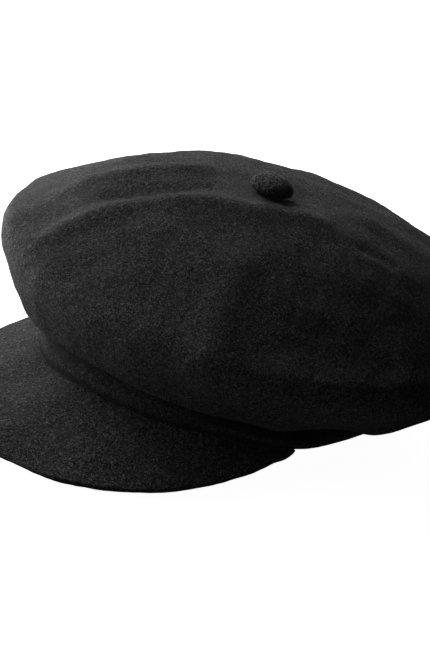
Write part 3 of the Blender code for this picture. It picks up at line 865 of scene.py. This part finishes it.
def make_button():
    """The button's felt, a dome that curls in beneath, standing in the crown's dimple."""
    base = np.array((0.0, -CROWN_TOP_FORWARD, CROWN_TOP - DIMPLE_DEPTH))
    turn = np.radians(np.linspace(0.0, 360.0, 96, endpoint=False))
    bend = np.radians(np.linspace(150.0, 1.0, 44))
    height = np.where(np.degrees(bend) <= 90, BUTTON_DOME, BUTTON_UNDERSIDE)

    def dome(depth):
        radius = (BUTTON_RADIUS - depth) * np.sin(bend) ** 0.85
        up = BUTTON_WIDEST + (height - depth) * np.cos(bend)
        across, along = radius[:, None] * np.cos(turn), radius[:, None] * np.sin(turn)
        return np.stack((across, along, np.repeat(up[:, None], len(turn), 1)), -1)

    outer = dome(0.0)
    outer = outer + normals(outer) * (0.6 * lumpy(outer * 2, 21))[..., None] + base
    cover = solid("button", outer, dome(BUTTON_FELT) + base, BUTTON_LOOK)
    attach(cover, "button")
    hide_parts("button_felt")


make_button()

# ---------------------------------------------------------------- inside the cap


def stitches(name, centres, along, out, length, radius, material):
    """A row of stitches: short bowed lengths of thread whose ends sink into the cloth."""
    steps, sides = np.linspace(-1.0, 1.0, 7), np.linspace(0.0, 2 * math.pi, 6, endpoint=False)
    side = np.cross(along, out)
    bow = 1.3 * radius * (1 - 2.2 * steps**4)
    line = centres[:, None] + along[:, None] * (steps * length / 2)[:, None] + out[:, None] * bow[:, None]
    girth = radius * np.sqrt(1.02 - steps**4)
    spokes = out[:, None] * np.cos(sides)[:, None] + side[:, None] * np.sin(sides)[:, None]
    points = line[:, :, None] + spokes[:, None] * girth[:, None, None]
    count, rings, corners = points.shape[:3]
    one = grid_faces(rings, corners, False, True)
    one += [list(range(corners))[::-1], list(range((rings - 1) * corners, rings * corners))]
    size = rings * corners
    faces = [[index + size * i for index in face] for i in range(count) for face in one]
    piece = mesh_object(name, points.reshape(-1, 3), faces, material)
    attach(piece, "cap")


def frame_round(turn, inset, height):
    """Points on the oval, with the directions round the head and in towards its middle there."""
    place = ellipse(turn, inset, height)
    around = ellipse(turn + 0.5, inset, height) - ellipse(turn - 0.5, inset, height)
    around /= np.linalg.norm(around, axis=-1, keepdims=True)
    inward = np.cross(np.array((0.0, 0.0, 1.0)), around)
    return place, around, inward


def hang(turn):
    """Moves the lower edges of the inner layers up at the sides, with the band's."""

    def bend(points):
        points[..., 2] += lift(turn) * np.clip(1 - points[..., 2] / SWEATBAND_TOP, 0.0, 1.0)
        return points

    return bend


def ribbed_strip(name, turns, ribs, insets, heights, material, flare=0.0):
    """A ribbon with upright ribs on its inner face, between two turns round the head.

    flare is how far each face grows at its lower edge: out towards the felt band and in towards the head.
    """
    start, end = turns
    whole = end - start == 360
    turn = np.linspace(start, end, ribs * 4, endpoint=not whole)
    rib = 0.10 * MM * np.sin(np.arange(len(turn)) * math.pi / 2)
    outer_inset, inner_inset = insets
    low, high = heights
    rows = np.linspace(low, high, 16)
    out = flare * (1 - step(rows, low, low + FLARE_HEIGHT))
    edge = 0.35 * MM * np.abs(np.linspace(-1, 1, 16)) ** 8 - out
    under = 0.3 * np.maximum(edge, 0.0) - out
    wave = 0.18 * MM * np.sin(np.radians(turn) * 23) + 0.12 * MM * np.sin(np.radians(turn) * 41 + 1)
    inner = np.stack([ellipse(turn, inner_inset - e + rib + wave, z) for e, z in zip(edge, rows)])
    outer = np.stack([ellipse(turn, outer_inset + e + wave, z) for e, z in zip(under, rows)])
    bend = hang(turn)
    return solid(name, bend(outer), bend(inner), material, closed=whole)


def make_sweatband():
    faces, heights = (4.3 * MM, 4.95 * MM), (0.4 * MM, SWEATBAND_TOP)
    band = ribbed_strip("sweatband_ribbon", (-180, 180), RIBS, faces, heights, GROSGRAIN, SWEATBAND_FLARE)
    faces, heights = (5.35 * MM, 5.75 * MM), (1.3 * MM, 29.0 * MM)
    tab = ribbed_strip("sweatband_tab", (174, 186), 18, faces, heights, GROSGRAIN)
    for piece, node in ((band, "sweatband"), (tab, "sweatband_joint_tab")):
        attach(piece, "cap")
        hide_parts(node)
    turn = np.linspace(-180.0, 180.0, 168, endpoint=False)
    # These stitches lie inside the hem, so they don't show.
    place, around, inward = frame_round(turn, 4.6 * MM, 4.2 * MM)
    place[..., 2] += lift(turn) * 0.9
    stitches("sweatband_stitches", place, around, inward, 2.5 * MM, 0.2 * MM, THREAD)


def make_lining():
    """Satin gathered into the top of the sweatband, with a round tip set in by a seam."""
    turn = np.linspace(-180.0, 180.0, 420, endpoint=False)
    rise = np.concatenate(((-0.16, -0.13, -0.09, -0.045), np.linspace(0.0, 1.0, 74)[:-1]))
    angle = np.radians(turn)
    centre = np.array((0.0, -CROWN_TOP_FORWARD, 0.0))
    rows = []
    for share in rise:
        if share < 0:
            back = share / 0.16
            row = ellipse(turn, (1.0 + 2.9 * back**2) * MM, LINING_WIDEST + 17.4 * MM * back)
        else:
            quarter = share * math.pi / 2
            edge = ellipse(turn, LINING_CLEARANCE, 0.0)
            row = edge + (centre - edge) * (1 - math.cos(quarter))
            row[..., 2] = LINING_WIDEST + (LINING_TOP - LINING_WIDEST) * math.sin(quarter)
        rows.append(row)
    points = np.array(rows)
    face = normals(points)
    height = (points[..., 2] - 28.6 * MM) / MM
    wander = 0.6 * np.sin(5 * angle) + 0.5 * np.sin(11 * angle + 2)
    gathers = np.sin(64 * angle + 3 * wander) + 0.6 * np.sin(91 * angle - 2 * wander)
    near_mouth = np.clip(height / 3.0, 0.0, 1.0) * np.exp(-np.maximum(height - 3.0, 0.0) / 10.0)
    drape = np.sin(9 * angle + wander) + 0.7 * np.sin(17 * angle + 2 * wander + 1)
    mid = np.clip(height / 12.0, 0.0, 1.0) * np.exp(-(((height - 26.0) / 22.0) ** 2))
    out = np.hypot(points[..., 0], points[..., 1] + CROWN_TOP_FORWARD)
    seam = np.exp(-(((out - TIP_RADIUS) / (1.1 * MM)) ** 2))
    shift = 0.55 * MM * gathers * near_mouth + 0.9 * MM * drape * mid - 0.8 * MM * seam
    points = points + face * (np.minimum(shift, 0.4 * MM) - 0.5 * MM * mid)[..., None]
    inner = points - normals(points) * 0.35 * MM
    lining = solid("lining", points, inner, SATIN)
    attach(lining, "cap")
    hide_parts("crown_lining")


def make_label():
    """A blank woven ribbon, its ends turned under and caught down with a few stitches each."""
    turn = np.linspace(168.0, 192.0, 81)
    height = np.linspace(7.0 * MM, 27.0 * MM, 41)
    end = np.abs(turn - 180.0) / 12.0
    edge = np.abs(height - 17.0 * MM) / (10.0 * MM)
    hem = 0.18 * MM * hump(end - 0.93, 0.10)
    puff = 0.30 * MM * (1 - end**4)[None] * (1 - edge**6)[:, None]
    ripple = 0.07 * MM * np.sin(turn * 2.1)[None] * np.sin(height / MM * 0.5)[:, None]
    inner = ellipse(turn[None], 6.3 * MM + puff + ripple + hem[None], height[:, None])
    outer = ellipse(turn[None], 5.95 * MM + puff * 0.9 + ripple, height[:, None])
    label = solid("label", outer, inner, LABEL, closed=False)
    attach(label, "cap")
    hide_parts("care_label")
    rows = np.linspace(9.0, 25.0, 7) * MM
    ends = np.repeat((169.3, 190.7), len(rows))
    place, _, inward = frame_round(ends, 6.45 * MM, np.tile(rows, 2))
    upright = np.tile(np.array((0.0, 0.0, 1.0)), (len(place), 1))
    stitches("label_stitches", place, upright, inward, 1.7 * MM, 0.16 * MM, THREAD)


def make_stiffener():
    """The buckram behind the felt band, short of the band's lower edge, where the layers are sewn together."""
    turn = np.linspace(-180.0, 180.0, BAND_COLUMNS, endpoint=False)
    bend = hang(turn)
    rows = np.linspace(STIFFENER_LOW, STIFFENER_HIGH, 10)
    faces = [bend(np.stack([ellipse(turn, inset, z) for z in rows])) for inset in STIFFENER_INSETS]
    stiffener = solid("stiffener", faces[0], faces[1], BUCKRAM)
    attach(stiffener, "cap")
    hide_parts("band_stiffener")


def finish_hidden_layers():
    """The CAD's own tapes and button fittings keep their shapes and take woven, felt and metal finishes."""
    for node, look in (
        ("crown_seam_tape", COTTON),
        ("visor_root_tape", COTTON),
        ("button_shell", STEEL),
        ("button_back_plate", STEEL),
        ("button_shank", STEEL),
        ("button_thread", THREAD),
        ("button_anchor_disc", FELT_UNDER),
    ):
        obj = frame["nodes"][node]
        for slot in obj.material_slots:
            slot.material = look


make_sweatband()
make_lining()
make_label()
make_stiffener()
finish_hidden_layers()

# ---------------------------------------------------------------- stage


def make_floor():
    look = Look("pale_floor")
    look.set(Base_Color=(0.85, 0.85, 0.85, 1.0), Roughness=0.9)
    look.set(Emission_Color=(1.0, 1.0, 1.0, 1.0), Emission_Strength=0.97)
    mesh = bpy.data.meshes.new("floor")
    size = 6.0
    corners = [(-size, -size, 0.0), (size, -size, 0.0), (size, size, 0.0), (-size, size, 0.0)]
    mesh.from_pydata(corners, [], [(0, 1, 2, 3)])
    mesh.materials.append(look.material)
    floor = bpy.data.objects.new("floor", mesh)
    bpy.context.scene.collection.objects.link(floor)
    floor.visible_diffuse = False
    floor.visible_glossy = False


SOFTBOX_SIZE, SOFTBOX_DISTANCE, LIT_POINT = 1.0, 1.6, Vector((0.0, 0.0, 0.06))
# Name, azimuth, elevation and power. The main light is a long window on the wearer's right, in parts.
SOFTBOXES = (
    ("key", -90, 35, 20.5),
    ("rim", -120, 5, 28.2),
    ("rim_back", -150, 5, 2.0),
    ("front_left", -60, 20, 7.5),
    ("front", -30, 20, 3.0),
    ("fill_left", 30, 5, 0.35),
    ("edge_left", 120, 0, 0.9),
)
# Name, place on the floor, size and power: the light that a pale floor throws back up.
BOUNCES = (
    ("bounce_right", (-0.33, -0.05), 0.35, 4.0),
    ("bounce_front", (0.0, -0.38), 0.35, 0.45),
    ("bounce_left", (0.20, -0.10), 0.15, 0.015),
)


def area_light(name, power, size, place):
    """A square area light that the camera doesn't see."""
    data = bpy.data.lights.new(name, "AREA")
    data.energy, data.size = power, size
    light = bpy.data.objects.new(name, data)
    bpy.context.scene.collection.objects.link(light)
    light.location = place
    light.visible_camera = False
    return light


def softbox(name, azimuth, elevation, power):
    """A large light that faces the cap. Azimuth 0 is in front of it and 90 on the wearer's left."""
    a, e = math.radians(azimuth), math.radians(elevation)
    away = Vector((math.sin(a) * math.cos(e), -math.cos(a) * math.cos(e), math.sin(e)))
    light = area_light(name, power, SOFTBOX_SIZE, LIT_POINT + away * SOFTBOX_DISTANCE)
    light.rotation_mode = "QUATERNION"
    light.rotation_quaternion = away.to_track_quat("Z", "Y")


def make_stage():
    make_floor()
    world = bpy.data.worlds.new("studio")
    world.use_nodes = True
    backdrop = world.node_tree.nodes["Background"]
    backdrop.inputs["Color"].default_value = (1.0, 1.0, 1.0, 1.0)
    path = world.node_tree.nodes.new("ShaderNodeLightPath")
    strength = world.node_tree.nodes.new("ShaderNodeMapRange")
    lighting, seen = 0.02, 0.9
    strength.inputs["To Min"].default_value, strength.inputs["To Max"].default_value = lighting, seen
    world.node_tree.links.new(path.outputs["Is Camera Ray"], strength.inputs["Value"])
    world.node_tree.links.new(strength.outputs["Result"], backdrop.inputs["Strength"])
    bpy.context.scene.world = world
    for name, azimuth, elevation, power in SOFTBOXES:
        softbox(name, azimuth, elevation, power)
    for name, (across, along), size, power in BOUNCES:
        light = area_light(name, power, size, (across, along, 2 * MM))
        light.rotation_euler = (math.pi, 0.0, 0.0)  # faces up
    bpy.context.scene.view_settings.view_transform = "Standard"


make_stage()
